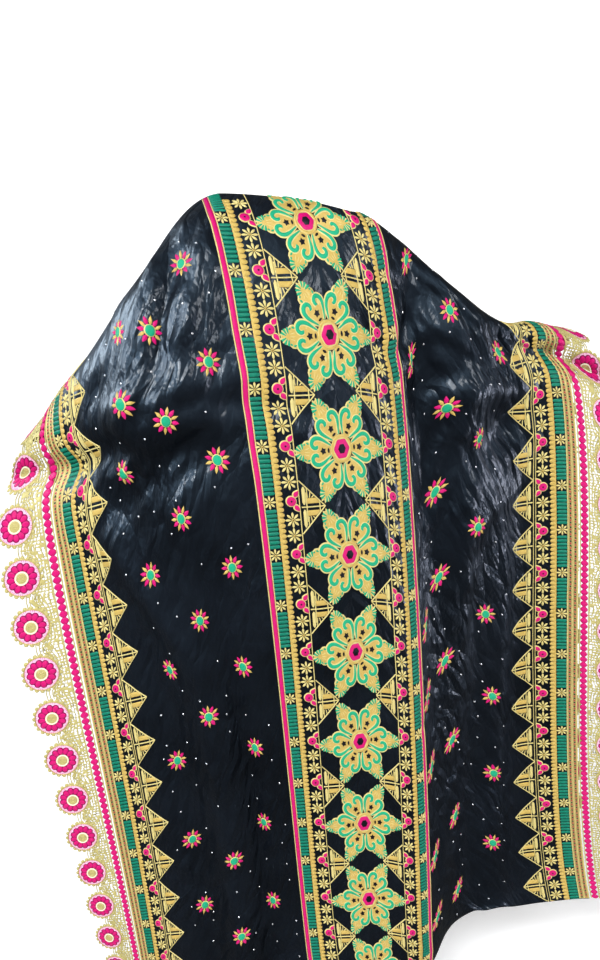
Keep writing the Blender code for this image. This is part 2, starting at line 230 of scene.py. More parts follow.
# Crumples of the waxed cloth
# middle across and up, reach across and up, how many, length, height, lean in degrees, spread of the lean
FRONT_CRUMPLES = [
    (-0.20, 1.40, 0.05, 0.11, 26, 0.120, 0.0042, 68, 16),
    (-0.33, 1.30, 0.07, 0.12, 24, 0.110, 0.0036, 64, 18),
    (-0.42, 1.15, 0.12, 0.14, 26, 0.090, 0.0040, 40, 35),
    (-0.26, 1.19, 0.10, 0.07, 24, 0.100, 0.0045, 18, 22),
    (0.27, 1.31, 0.12, 0.13, 30, 0.100, 0.0040, 118, 28),
    (0.38, 1.15, 0.12, 0.14, 34, 0.090, 0.0046, 150, 40),
    (0.30, 1.00, 0.12, 0.14, 28, 0.110, 0.0040, 62, 40),
    (-0.33, 0.75, 0.18, 0.40, 44, 0.120, 0.0024, 75, 50),
    (0.34, 0.60, 0.18, 0.45, 50, 0.120, 0.0028, 80, 50),
    (0.00, 1.36, 0.07, 0.12, 16, 0.080, 0.0026, 95, 30),
    (0.00, 0.60, 0.10, 0.60, 22, 0.090, 0.0014, 90, 50),
    (-0.30, 0.25, 0.20, 0.25, 24, 0.120, 0.0022, 80, 50),
]
BACK_CRUMPLES = [
    (-0.30, 1.20, 0.25, 0.30, 80, 0.100, 0.0040, 80, 50),
    (0.30, 1.20, 0.25, 0.30, 80, 0.100, 0.0040, 100, 50),
    (0.00, 0.60, 0.50, 0.60, 130, 0.120, 0.0028, 90, 45),
]
CRUMPLES = {"front": FRONT_CRUMPLES, "back": BACK_CRUMPLES}


def crumple_height(zones, across, up, down, seed):
    """Short crisp creases scattered over each zone."""
    rng = np.random.default_rng(seed)
    total = np.zeros(np.shape(across))
    for a0, u0, reach_a, reach_u, count, length, height, lean, spread in zones:
        for _ in range(count):
            a = a0 + reach_a * np.clip(rng.normal(0, 0.55), -1.2, 1.2)
            u = u0 + reach_u * np.clip(rng.normal(0, 0.55), -1.2, 1.2)
            angle = np.radians(lean + spread * rng.normal(0, 0.6))
            size = length * rng.uniform(0.5, 1.5)
            tall = height * rng.uniform(0.4, 1.3) * (1 if rng.random() < 0.6 else -1)
            width = rng.uniform(0.007, 0.014)
            along = (across - a) * np.cos(angle) + (up - u) * np.sin(angle)
            aside = -(across - a) * np.sin(angle) + (up - u) * np.cos(angle)
            aside = aside + 0.12 * along * np.sin(along * 40 + a * 50)
            window = np.clip(1 - (along / (size / 2)) ** 2, 0, 1)
            total += tall * window * np.exp(-np.abs(aside) / width)
    return total * np.clip(down / CRUMPLE_FADE, 0, 1)


EDGE_CLEAR = 0.0015  # embroidery stops this far from an edge of the cloth
OVER_ARM = 0.555  # trims further out than this run on over the arm,
RUN_ON = 0.040  # this far
FOLD_GAP = 0.0006  # sewing stays this far below the shoulder fold


def neck_start(layer, across):
    """How far below the shoulder fold the cloth starts, round the neck's cut."""
    depth = NECK_FRONT if layer == "front" else NECK_BACK
    inside = np.clip(1 - (np.abs(across) / NECK_HALF) ** 3, 0, 1)
    return FOLD_GAP + depth * np.sqrt(inside)


class Sheet:
    """One layer of the robe as a fine grid, on which flat places are looked up."""

    def __init__(self, layer, columns, rows, seed):
        self.layer = layer
        self.reach = columns * COLUMN
        self.across = np.linspace(-self.reach, self.reach, 2 * columns + 1)
        curves, distance = hanging_curves(layer, self.across)
        self.length = distance[:, -1]
        self.rows = rows
        share = np.linspace(0, 1, rows + 1)
        down = self.length[:, None] * share
        points = np.empty((len(self.across), rows + 1, 3))
        for k in range(len(self.across)):
            for axis in range(3):
                points[k, :, axis] = np.interp(down[k], distance[k], curves[k, :, axis])
        x, y = points[:, :, 0].copy(), points[:, :, 1].copy()
        points[:, :, 0] = x * np.cos(TURN) + y * np.sin(TURN)
        points[:, :, 1] = y * np.cos(TURN) - x * np.sin(TURN)
        across = np.repeat(self.across[:, None], rows + 1, axis=1)
        up = self.length[:, None] - down
        height = fold_height(FOLDS[layer], across, up, down)
        height += crumple_height(CRUMPLES[layer], across, up, down, seed)
        points += grid_normals(points, layer) * height[..., None]
        self.points = points
        self.normals = grid_normals(points, layer)

    def length_at(self, across):
        return np.interp(across, self.across, self.length)

    def place(self, across, up, out=0.0):
        """Points at flat places: across from the front's centre, up from the hem, out from the wall's middle.

        Places beyond the sheet's length lie on the other layer, over the shoulder fold.
        """
        across, up, out = np.broadcast_arrays(across, up, out)
        beyond = up > self.length_at(across)
        share = np.clip(1 - up / self.length_at(across), 0, 1)
        last = len(self.across) - 1
        i = np.clip((across + self.reach) / (2 * self.reach) * last, 0, last - 0.001)
        j = np.clip(share * self.rows, 0, self.rows - 0.001)
        i0, j0 = i.astype(int), j.astype(int)
        fi, fj = (i - i0)[..., None], (j - j0)[..., None]

        def look(grid):
            return (
                grid[i0, j0] * (1 - fi) * (1 - fj)
                + grid[i0 + 1, j0] * fi * (1 - fj)
                + grid[i0, j0 + 1] * (1 - fi) * fj
                + grid[i0 + 1, j0 + 1] * fi * fj
            )

        normal = look(self.normals)
        normal /= np.linalg.norm(normal, axis=-1, keepdims=True)
        placed = look(self.points) + normal * out[..., None]
        if beyond.any():
            a, over = across[beyond], (up - self.length_at(across))[beyond]
            placed[beyond] = self.other.place(a, self.other.length_at(a) - over, out[beyond])
        return placed


front = Sheet("front", 116, 250, 3)
back = Sheet("back", 116, 250, 4)
front.other, back.other = back, front

# Materials


def mix_colour(tree, factor, one, two):
    mix = tree.nodes.new("ShaderNodeMix")
    mix.data_type = "RGBA"
    mix.inputs["A"].default_value = (*one, 1.0)
    mix.inputs["B"].default_value = (*two, 1.0)
    tree.links.new(factor, mix.inputs["Factor"])
    return mix.outputs["Result"]


def maths(tree, kind, one, two=None):
    node = tree.nodes.new("ShaderNodeMath")
    node.operation = kind
    for socket, value in zip(node.inputs, (one, two)):
        if value is None:
            continue
        if isinstance(value, (int, float)):
            socket.default_value = value
        else:
            tree.links.new(value, socket)
    return node.outputs[0]


def sine(tree, value, period):
    return maths(tree, "SINE", maths(tree, "MULTIPLY", value, 2 * np.pi / period))


def noise(tree, vector, scale, detail=3.0, rough=0.5):
    node = tree.nodes.new("ShaderNodeTexNoise")
    node.inputs["Scale"].default_value = scale
    node.inputs["Detail"].default_value = detail
    node.inputs["Roughness"].default_value = rough
    tree.links.new(vector, node.inputs["Vector"])
    return node.outputs["Fac"]


def map_range(tree, value, low, high, to_low=0.0, to_high=1.0):
    node = tree.nodes.new("ShaderNodeMapRange")
    for name, number in (("From Min", low), ("From Max", high), ("To Min", to_low), ("To Max", to_high)):
        node.inputs[name].default_value = number
    tree.links.new(value, node.inputs["Value"])
    return node.outputs["Result"]


def bump(tree, height, strength, distance, before=None):
    node = tree.nodes.new("ShaderNodeBump")
    node.inputs["Strength"].default_value = strength
    node.inputs["Distance"].default_value = distance
    tree.links.new(height, node.inputs["Height"])
    if before is not None:
        tree.links.new(before, node.inputs["Normal"])
    return node.outputs["Normal"]


def start(name, roughness, metallic=0.0, specular=0.5):
    made = bpy.data.materials.new(name)
    made.use_nodes = True
    tree = made.node_tree
    shader = tree.nodes["Principled BSDF"]
    shader.inputs["Roughness"].default_value = roughness
    shader.inputs["Metallic"].default_value = metallic
    shader.inputs["Specular IOR Level"].default_value = specular
    where = tree.nodes.new("ShaderNodeTexCoord").outputs["Object"]
    uv = tree.nodes.new("ShaderNodeUVMap")
    uv.uv_map = "thread"
    split = tree.nodes.new("ShaderNodeSeparateXYZ")
    tree.links.new(uv.outputs["UV"], split.inputs[0])
    return made, tree, shader, where, uv.outputs["UV"], split


def thread_material(name, deep, bright, roughness, metallic=0.0, specular=0.5, thread=0.0011, sheen=0.0):
    """Satin stitch: fine threads that run across the shape, in slightly uneven colour, with painted shade in the
    grooves between threads and a painted highlight on their crests.
    """
    made, tree, shader, where, uv, split = start(name, roughness, metallic, specular)
    # painted shade and highlight: the threads' ridge height also darkens the colour in the grooves and lightens it on
    # the crests
    ply_ridges_and_groove_shade = map_range(tree, sine(tree, split.outputs["X"], thread), -1, 1)
    patchy = noise(tree, where, 160, 4)
    factor = maths(tree, "ADD", maths(tree, "MULTIPLY", ply_ridges_and_groove_shade, 0.45), maths(tree, "MULTIPLY", patchy, 0.55))
    tree.links.new(mix_colour(tree, factor, deep, bright), shader.inputs["Base Color"])
    first = bump(tree, ply_ridges_and_groove_shade, 0.5, 0.0004)
    tree.links.new(bump(tree, noise(tree, where, 900, 2), 0.35, 0.0005, first), shader.inputs["Normal"])
    if sheen:
        shader.inputs["Sheen Weight"].default_value = sheen
        shader.inputs["Sheen Roughness"].default_value = 0.4
    return made


def facets(tree, flat, size, turn, shift, swirl):
    """Creased facets drawn out along one direction, mirrored about the front's middle, in flat metres."""
    parts = tree.nodes.new("ShaderNodeSeparateXYZ")
    tree.links.new(flat, parts.inputs[0])
    side = maths(tree, "MULTIPLY", maths(tree, "ABSOLUTE", parts.outputs["X"]), -1.0)
    joined = tree.nodes.new("ShaderNodeCombineXYZ")
    tree.links.new(side, joined.inputs["X"])
    tree.links.new(parts.outputs["Y"], joined.inputs["Y"])
    cloud = tree.nodes.new("ShaderNodeTexNoise")
    cloud.inputs["Scale"].default_value = 9.0
    cloud.inputs["Detail"].default_value = 2.0
    tree.links.new(flat, cloud.inputs["Vector"])
    moved = tree.nodes.new("ShaderNodeVectorMath")
    moved.operation = "MULTIPLY_ADD"
    tree.links.new(cloud.outputs["Color"], moved.inputs[0])
    moved.inputs[1].default_value = (swirl, swirl, 0)
    tree.links.new(joined.outputs[0], moved.inputs[2])
    cell = tree.nodes.new("ShaderNodeMapping")
    cell.vector_type = "TEXTURE"
    cell.inputs["Location"].default_value = (shift, shift, 0)
    cell.inputs["Rotation"].default_value = (0, 0, np.radians(turn))
    cell.inputs["Scale"].default_value = (*size, 1)
    tree.links.new(moved.outputs[0], cell.inputs["Vector"])
    edges = tree.nodes.new("ShaderNodeTexVoronoi")
    edges.voronoi_dimensions = "2D"
    edges.feature = "DISTANCE_TO_EDGE"
    edges.inputs["Scale"].default_value = 1.0
    tree.links.new(cell.outputs["Vector"], edges.inputs["Vector"])
    return edges.outputs["Distance"]


def damask_material():
    """Waxed damask: near-black blue, glossy, with a faint woven figure and sharp creases."""
    made, tree, shader, where, uv, split = start("bazin", 0.34, specular=0.45)
    weave_u = sine(tree, split.outputs["X"], 0.0007)
    weave_v = sine(tree, split.outputs["Y"], 0.0009)
    weave = maths(tree, "MULTIPLY", weave_u, weave_v)
    figure_u = sine(tree, split.outputs["X"], 0.046)
    figure_v = sine(tree, split.outputs["Y"], 0.058)
    figure = map_range(tree, maths(tree, "MULTIPLY", figure_u, figure_v), 0.20, 0.34)
    tone = map_range(tree, noise(tree, where, 5, 3), 0.35, 0.65)
    colour = mix_colour(tree, tone, (0.0022, 0.0027, 0.0044), (0.0042, 0.0056, 0.0092))
    tree.links.new(colour, shader.inputs["Base Color"])
    smear = noise(tree, where, 45, 4, 0.6)
    dull = map_range(tree, smear, 0.3, 0.7, 0.36, 0.50)
    rough = maths(tree, "ADD", dull, maths(tree, "MULTIPLY", figure, 0.05))
    tree.links.new(rough, shader.inputs["Roughness"])
    shader.inputs["Specular Tint"].default_value = (0.48, 0.73, 1.0, 1.0)
    shader.inputs["Coat Weight"].default_value = 0.5
    shader.inputs["Coat Roughness"].default_value = 0.16
    shader.inputs["Coat IOR"].default_value = 1.5
    high = map_range(tree, split.outputs["Y"], 0.50, 1.05, 0.95, 1.0)
    patchy = map_range(tree, noise(tree, uv, 6, 2), 0.38, 0.62, 0.35, 1.0)
    creased = maths(tree, "MULTIPLY", high, patchy)
    long_cells = facets(tree, uv, (0.030, 0.095), -22, 0.3, 0.05)
    streaks = facets(tree, uv, (0.013, 0.046), -26, 1.7, 0.03)
    fine_cells = facets(tree, uv, (0.011, 0.016), 20, 4.1, 0.016)
    first = bump(tree, maths(tree, "MULTIPLY", long_cells, creased), 1.0, 0.0100)
    second = bump(tree, maths(tree, "MULTIPLY", streaks, creased), 1.0, 0.0021, first)
    third = bump(tree, maths(tree, "MULTIPLY", fine_cells, creased), 1.0, 0.0009, second)
    fourth = bump(tree, figure, 0.15, 0.0004, third)
    skin = bump(tree, weave, 0.2, 0.0002, fourth)
    tree.links.new(skin, shader.inputs["Normal"])
    tree.links.new(third, shader.inputs["Coat Normal"])
    return made


def stone_material():
    """Faceted glass: pale, sharp and bright."""
    made, tree, shader, where, uv, split = start("glass_stone", 0.08, 0.6)
    colour = mix_colour(tree, noise(tree, where, 300), (0.75, 0.78, 0.85), (1.0, 1.0, 1.0))
    tree.links.new(colour, shader.inputs["Base Color"])
    tree.links.new(bump(tree, noise(tree, where, 1500, 1), 0.4, 0.0005), shader.inputs["Normal"])
    return made


MATERIALS = {
    "cloth": damask_material(),
    "light": thread_material(
        "gold_light", (0.55, 0.425, 0.125), (0.75, 0.655, 0.28), 0.42, 0.05, 0.3
    ),
    "gold": thread_material(
        "gold_thread", (0.43, 0.265, 0.045), (0.74, 0.545, 0.16), 0.40, 0.10, 0.3
    ),
    "emerald": thread_material(
        "emerald_thread", (0.004, 0.27, 0.13), (0.014, 0.45, 0.225), 0.42, specular=0.22
    ),
    "green": thread_material(
        "green_thread", (0.0, 0.022, 0.016), (0.0, 0.06, 0.040), 0.42, specular=0.2
    ),
    "jade": thread_material(
        "jade_thread", (0.0, 0.10, 0.06), (0.0, 0.27, 0.165), 0.40, specular=0.3
    ),
    "plum": thread_material(
        "plum_thread", (0.16, 0.0, 0.05), (0.30, 0.001, 0.09), 0.45, specular=0.2
    ),
    "cream": thread_material(
        "cream_thread", (0.72, 0.66, 0.45), (0.93, 0.90, 0.70), 0.45, specular=0.3
    ),
    "magenta": thread_material(
        "magenta_thread", (0.44, 0.001, 0.095), (0.72, 0.005, 0.19), 0.42, specular=0.22
    ),
    "black": thread_material(
        "black_thread", (0.004, 0.004, 0.006), (0.012, 0.012, 0.018), 0.40, specular=0.2
    ),
    "lace": thread_material("lace_thread", (0.38, 0.31, 0.09), (0.68, 0.60, 0.25), 0.45, 0.1, 0.3),
    "braid": thread_material(
        "braid_thread", (0.30, 0.21, 0.05), (0.66, 0.52, 0.20), 0.42, 0.25, 0.4, thread=0.0021
    ),
    "pink": thread_material(
        "pink_thread", (0.72, 0.30, 0.50), (0.95, 0.66, 0.80), 0.5, specular=0.3
    ),
    "stone": stone_material(),
    "red": thread_material("red_thread", (0.34, 0.005, 0.02), (0.62, 0.015, 0.06), 0.45),
}

# Mesh building


def build(name, points, quads, tris, thread, material):
    """A mesh object from arrays, with its thread directions as UVs in metres."""
    quads = np.asarray(quads, int).reshape(-1, 4)
    tris = np.asarray(tris, int).reshape(-1, 3)
    loops = np.concatenate([quads.ravel(), tris.ravel()])
    starts = np.concatenate([np.arange(len(quads)) * 4, len(quads) * 4 + np.arange(len(tris)) * 3])
    mesh = bpy.data.meshes.new(name)
    mesh.vertices.add(len(points))
    mesh.vertices.foreach_set("co", np.asarray(points, np.float32).ravel())
    mesh.loops.add(len(loops))
    mesh.loops.foreach_set("vertex_index", loops.astype(np.int32))
    mesh.polygons.add(len(starts))
    mesh.polygons.foreach_set("loop_start", starts.astype(np.int32))
    mesh.update(calc_edges=True)
    layer = mesh.uv_layers.new(name="thread")
    layer.data.foreach_set("uv", np.asarray(thread, np.float32)[loops].ravel())
    mesh.validate()
    mesh.shade_smooth()
    mesh.materials.append(MATERIALS[material])
    piece = bpy.data.objects.new(name, mesh)
    scene.collection.objects.link(piece)
    piece.visible_glossy = material == "cloth"
    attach(piece, "root")
    return piece


def grid_quads(columns, rows, keep=None):
    """Quads of a grid, columns first; keep is a mask of cells."""
    i, j = np.meshgrid(np.arange(columns - 1), np.arange(rows - 1), indexing="ij")
    if keep is not None:
        i, j = i[keep], j[keep]
    a = (i * rows + j).ravel()
    b = a + rows
    return np.stack([a, a + 1, b + 1, b], axis=1)


class Motif:
    """Raised shapes in local flat metres (x across, y up), kept by thread."""

    def __init__(self):
        self.parts = {}

    def add(self, thread, points, out, uv, quads, tris):
        part = self.parts.setdefault(thread, [[], [], [], [], [], 0])
        shift = part[5]
        part[0].append(np.asarray(points, float))
        part[1].append(np.asarray(out, float))
        part[2].append(np.asarray(uv, float))
        part[3].append(np.asarray(quads, int).reshape(-1, 4) + shift)
        part[4].append(np.asarray(tris, int).reshape(-1, 3) + shift)
        part[5] += len(points)

    def stroke(self, thread, line, width, height, base=0.0, closed=False, both=False, blunt=False):
        """A domed satin line of a width that may change along it."""
        line = np.asarray(line, float)
        n = len(line)
        width = np.broadcast_to(np.asarray(width, float), (n,)).copy()
        if closed:
            tangent = np.roll(line, -1, axis=0) - np.roll(line, 1, axis=0)
        else:
            tangent = np.gradient(line, axis=0)
            if not blunt:
                width[0] *= 0.35
                width[-1] *= 0.35
        tangent /= np.linalg.norm(tangent, axis=1, keepdims=True) + 1e-12
        side = np.stack([-tangent[:, 1], tangent[:, 0]], axis=1)
        step = np.linalg.norm(np.diff(line, axis=0), axis=1)
        along = np.concatenate([[0], np.cumsum(step)])
        offset = np.array([-1, -0.6, 0, 0.6, 1.0])
        rise = np.array([0, 0.75, 1, 0.75, 0])
        if both:
            offset = np.concatenate([offset, [0.6, 0, -0.6]])
            rise = np.concatenate([rise, [-0.75, -1, -0.75]])
        m = len(offset)
        points = line[:, None, :] + side[:, None, :] * (offset[None, :, None] * width[:, None, None] / 2)
        out = base + height * rise[None, :] * np.minimum(1, width / width.max() + 0.3)[:, None]
        uv = np.stack([np.repeat(along[:, None], m, axis=1), offset[None, :] * width[:, None] / 2], axis=2)
        i, j = np.meshgrid(np.arange(n if closed else n - 1), np.arange(m if both else m - 1), indexing="ij")
        i2, j2 = (i + 1) % n, (j + 1) % m
        quads = np.stack([i * m + j, i2 * m + j, i2 * m + j2, i * m + j2], axis=-1).reshape(-1, 4)
        self.add(thread, points.reshape(-1, 2), out.reshape(-1), uv.reshape(-1, 2), quads, [])

    def patch(self, thread, outline, centre, height, base=0.0, rings=(1, 0.88, 0.5), both=False, grain=0.0):
        """A domed fill; the outline is star-shaped about its centre."""
        outline = np.asarray(outline, float)
        centre = np.asarray(centre, float)
        n = len(outline)
        rise = (0, 1.0) if len(rings) == 2 else (0, 0.8) + (1.0,) * (len(rings) - 2)
        layers, heights = [], []
        for ring, up in zip(rings, rise):
            layers.append(centre + (outline - centre) * ring)
            heights.append(np.full(n, base + height * up))
        points = np.concatenate(layers + [centre[None]])
        out = np.concatenate(heights + [[base + height]])
        k = np.arange(n)
        k2 = (k + 1) % n
        last = len(rings) - 1
        corners = ((r * n, r * n + n) for r in range(last))
        quads = [np.stack([near + k, near + k2, far + k2, far + k], axis=1) for near, far in corners]
        tris = np.stack([last * n + k, last * n + k2, np.full(n, len(rings) * n)], axis=1)
        quads = np.concatenate(quads)
        if both:
            count = len(points)
            inner = np.arange(n, count)
            points = np.concatenate([points, points[inner]])
            out = np.concatenate([out, 2 * base - out[inner]])
            move = np.arange(count)
            move[inner] = count + np.arange(len(inner))
            quads = np.concatenate([quads, move[quads][:, ::-1]])
            tris = np.concatenate([tris, move[tris][:, ::-1]])
        c, s = np.cos(grain), np.sin(grain)
        uv = np.stack([points[:, 0] * c + points[:, 1] * s, points[:, 1] * c - points[:, 0] * s], axis=1)
        self.add(thread, points, out, uv, quads, tris)

    def include(self, other, at=(0, 0), angle=0.0, mirror=1, stretch=(1, 1), lift=0.0):
        """Copies of another motif; `at` may be one place or a list of places."""
        at = np.atleast_2d(np.asarray(at, float))
        c, s = np.cos(angle), np.sin(angle)
        for thread, (points, out, uv, quads, tris, count) in other.parts.items():
            p = np.concatenate(points) * (mirror, 1)
            q = np.stack([p[:, 0] * c - p[:, 1] * s, p[:, 0] * s + p[:, 1] * c], axis=1) * stretch
            o, w = np.concatenate(out) + lift, np.concatenate(uv)
            f, t = np.concatenate(quads), np.concatenate(tris)
            if mirror < 0:
                f, t = f[:, ::-1], t[:, ::-1]
            n = len(at)
            shift = (np.arange(n) * count)[:, None, None]
            self.add(
                thread,
                (q[None] + at[:, None]).reshape(-1, 2),
                np.tile(o, n),
                np.tile(w, (n, 1)),
                (f[None] + shift).reshape(-1, 4),
                (t[None] + shift).reshape(-1, 3),
            )

    def sew(self, sheet, name, lift=0.0):
        """One piece for each thread, laid over the cloth."""
        made = []
        for thread, (points, out, uv, quads, tris, _) in self.parts.items():
            p, o = np.concatenate(points), np.concatenate(out) + lift
            quads, tris = np.concatenate(quads), np.concatenate(tris)
            top = sheet.length_at(p[:, 0]) - neck_start(sheet.layer, p[:, 0]) - EDGE_CLEAR
            top += np.where(np.abs(p[:, 0]) > OVER_ARM, RUN_ON, 0.0)
            above = (p[:, 1] > top) | (p[:, 1] < EDGE_CLEAR)
            quads, tris = quads[~above[quads].all(axis=1)], tris[~above[tris].all(axis=1)]
            placed = sheet.place(p[:, 0], np.clip(p[:, 1], EDGE_CLEAR, top), o)
            if sheet.layer == "back":
                quads, tris = quads[:, ::-1], tris[:, ::-1]
            made.append(build(f"{name}_{thread}", placed, quads, tris, np.concatenate(uv), thread))
        return made


def circle(radius, count, centre=(0, 0), turn=0.0, squash=1.0):
    t = np.arange(count) * 2 * np.pi / count + turn
    return np.stack([centre[0] + radius * np.cos(t), centre[1] + radius * squash * np.sin(t)], axis=1)


def curve(points, count):
    """A smooth line through points, evenly spaced."""
    points = np.asarray(points, float)
    key = np.concatenate([[0], np.cumsum(np.linalg.norm(np.diff(points, axis=0), axis=1))])
    rows = np.column_stack([key, points])
    return smooth_between(rows, np.linspace(0, key[-1], count))


def upright(across, ups):
    """A straight line up the cloth."""
    return [(across, y) for y in ups]


def mm(rows):
    return np.asarray(rows, float) / 1000


def petal_shape(length, width, count=12, pointed=1.0, outward=0.8):
    """Outline of a petal along +x; a larger `outward` puts its widest place nearer the tip."""
    t = np.linspace(0, 1, count)
    half = width / 2 * np.sin(np.pi * t**outward) ** pointed
    top = np.stack([length * t, half], axis=1)
    low = np.stack([length * t[-2:0:-1], -half[-2:0:-1]], axis=1)
    return np.concatenate([top, low])


def turned(points, angle):
    c, s = np.cos(angle), np.sin(angle)
    return np.stack([points[:, 0] * c - points[:, 1] * s, points[:, 0] * s + points[:, 1] * c], axis=1)


# Motifs; the tables are in millimetres
PETAL_HALF = [(18, 3), (22, 10), (28, 15.6), (34, 20), (40, 22.8), (46, 22.6), (51.5, 19.6), (55, 15.2)]
PETAL_HALF += [(58.5, 16), (63, 15.4), (66.5, 12.6), (68.5, 10.6), (72, 10.8), (76, 8.2), (78.6, 4.4)]
SCROLL = [(19.5, 6.9), (27, 11.6), (34, 15.8), (41, 18.3), (47.6, 17.7)]
SCROLL += [(51.8, 13.9), (52.4, 9.0), (49.2, 5.4), (44.6, 5.2), (42.4, 8.0)]
# emerald stripes round the tip: x, y, turn in degrees
TIP_DASHES = [(68.6, 10.2, 80), (73.6, 8.6, 55), (77.4, 4.4, 26)]
SCROLL_WIDTH = [2.2, 2.8, 3.9, 5.0, 5.8, 6.1, 6.2, 6.0, 5.5, 4.8]


def make_medallion():
    """Six petals round a hexagon: gold fill, pairs of emerald scrolls, black cut-outs, fringed tips."""
    petal = Motif()
    half = mm(PETAL_HALF)
    outline = np.concatenate([half, [(0.080, 0.0)], half[::-1] * (1, -1)])
    middle = (0.044, 0)
    petal.patch("light", outline, middle, 0.0012, rings=(1, 0.95, 0.7, 0.3))
    fill = middle + (outline - middle) * (0.955, 0.90)
    petal.patch("gold", fill, middle, 0.0005, 0.0009, rings=(1, 0.96, 0.6, 0.3), grain=0.6)
    for side in (1, -1):
        path = curve(mm(SCROLL), 22) * (1, side)
        width = np.interp(np.linspace(0, 1, 22), np.linspace(0, 1, len(SCROLL_WIDTH)), mm(SCROLL_WIDTH))
        petal.stroke("light", path, width + 0.0042, 0.0008, 0.0012)
        petal.stroke("emerald", path, width, 0.0011, 0.0018)
        for x, y, turn, length in ((59.0, 11.8, 15, 5.0), (64.5, 10.4, -20, 3.4)):
            dash = mm([(-length / 2, 0), (0, 0), (length / 2, 0)])
            dash = turned(dash, np.radians(turn * side)) + mm((x, y * side))
            petal.stroke("emerald", dash, 0.0034, 0.0010, 0.0013)
        for x, y, turn in TIP_DASHES:
            dash = mm([(-6.2, 0), (-2.0, 0), (0.6, 0), (2.0, 0)])
            green = turned(dash, np.radians(turn * side)) + mm((x, y * side))
            petal.stroke("emerald", green, 0.0036, 0.0012, 0.0012)
            pale = turned(dash, np.radians((turn - 13) * side)) + mm(((x + 2.6), (y - 1.6) * side))
            petal.stroke("light", pale, 0.0024, 0.0010, 0.0011)
    for y in (-4.2, 0, 4.2):
        petal.stroke("light", mm([(57, y * 1.3), (61, y), (65, y * 0.75)]), 0.0016, 0.0006, 0.0012)
    star = circle(1, 10, turn=0.0) * np.tile([0.0062, 0.0038], 5)[:, None]
    petal.patch("black", star + (0.0335, 0), (0.0335, 0), 0.0007, 0.0012, rings=(1, 0.7))
    eye = circle(0.0021, 8, squash=1.9) + (0.0240, 0)
    petal.patch("black", eye, (0.0240, 0), 0.0007, 0.0012, rings=(1, 0.7))

    whole = Motif()
    for k in range(6):
        whole.include(petal, angle=np.radians(60 * k))
        notch = turned(mm([(19.8, 1.8), (27.5, 0), (19.8, -1.8)]), np.radians(60 * k + 30))
        whole.patch("black", notch, notch.mean(axis=0), 0.0006, 0.0012, rings=(1, 0.7))
    ring = circle(0.0174, 36)
    whole.patch("light", circle(0.0205, 36), (0, 0), 0.0018, rings=(1, 0.94))
    whole.stroke("gold", ring, 0.0044, 0.0009, 0.0015, closed=True)
    whole.stroke("light", circle(0.0152, 30), 0.0014, 0.0009, 0.0017, closed=True)
    hexagon = circle(0.0156, 6)
    sides = np.concatenate([np.linspace(hexagon[k], hexagon[(k + 1) % 6], 5)[:-1] for k in range(6)])
    whole.patch("magenta", sides, (0, 0), 0.0010, 0.0016, rings=(1, 0.9, 0.5))
    whole.patch("black", sides * 0.49, (0, 0), 0.0005, 0.0024, rings=(1, 0.9))
    stretched = Motif()
    stretched.include(whole, stretch=(1.0, 1.150))
    return stretched


def make_triangle(depth):
    """Open gold lattice with its base along y at x = 0 and its apex at x = depth."""
    made = Motif()
    half = PITCH / 2
    size = np.array([depth, half])
    for side in (1, -1):
        flip = size * (1, side)
        edge = np.stack([np.linspace(0, 1, 10), 1 - np.linspace(0, 1, 10)], axis=1) * flip
        made.stroke("light", edge, 0.0022, 0.0016, blunt=True)
        leaf = np.stack([np.full(8, 0.155), np.linspace(0.09, 0.76, 8)], axis=1) * flip
        made.stroke("light", leaf, 0.0062, 0.0017)
        fill = [(0.27, 0.125), (0.50, 0.125), (0.76, 0.125), (0.76, 0.20), (0.63, 0.335), (0.45, 0.335), (0.27, 0.335)]
        middle = np.array([0.50, 0.22]) * flip
        made.patch("gold", np.array(fill) * flip, middle, 0.0013, rings=(1, 0.9, 0.5), grain=np.pi / 2)
        for near, far in ((0.30, 0.28), (0.38, 0.42), (0.46, 0.56)):
            half_way = ((near + far) / 2, 0.35 + 0.45 * (0.65 - far))
            ray = np.array([(near, 0.35), half_way, (far, 0.98 * (1 - far))])
            made.stroke("light", ray * flip, 0.0018, 0.0013, blunt=True)
        for x, ups in ((0.25, (0.0, 0.2, 0.4, 0.55)), (0.78, (0.0, 0.1, 0.2))):
            made.stroke("light", np.array(upright(x, ups)) * flip, 0.0020, 0.0014, blunt=True)
    middle = np.stack([np.linspace(0.03, 0.99, 10), np.zeros(10)], axis=1) * size
    made.stroke("light", middle, 0.0024, 0.0015, blunt=True)
    return made


def make_floret(radius, petals=8, core=0.0022):
    """A small gold flower of narrow petals."""
    made = Motif()
    for k in range(petals):
        angle = 2 * np.pi * k / petals
        shape = turned(petal_shape(radius, radius * 0.33, 7, 0.75, 1.5) + (0.0006, 0), angle)
        made.patch("light", shape, shape.mean(axis=0), 0.0015, rings=(1, 0.6), grain=angle + np.pi / 2)
    made.patch("gold", circle(core, 8), (0, 0), 0.0006, 0.0013, rings=(1, 0.7))
    made.patch("black", circle(core * 0.5, 6), (0, 0), 0.0004, 0.0018, rings=(1, 0.7))
    return made


def make_blossom():
    """A magenta disc with a dark eye and two leaves towards +x."""
    made = Motif()
    for side in (1, -1):
        leaf = turned(petal_shape(0.0160, 0.0098, 9), np.radians(52 * side)) + (0.0040, 0.0055 * side)
        middle = leaf.mean(axis=0)
        made.patch("light", middle + (leaf - middle) * 1.16, middle, 0.0013, rings=(1, 0.8))
        inside = middle + (leaf - middle) * 0.86
        made.patch("magenta", inside, middle, 0.0008, 0.0010, rings=(1, 0.8), grain=np.radians(58 * side))
    made.patch("light", circle(0.0094, 20), (0, 0), 0.0014, rings=(1, 0.94))
    made.patch("magenta", circle(0.0080, 20), (0, 0), 0.0010, 0.0012, rings=(1, 0.9, 0.45))
    made.patch("black", circle(0.0018, 8), (0, 0), 0.0005, 0.0020, rings=(1, 0.8))
    return made


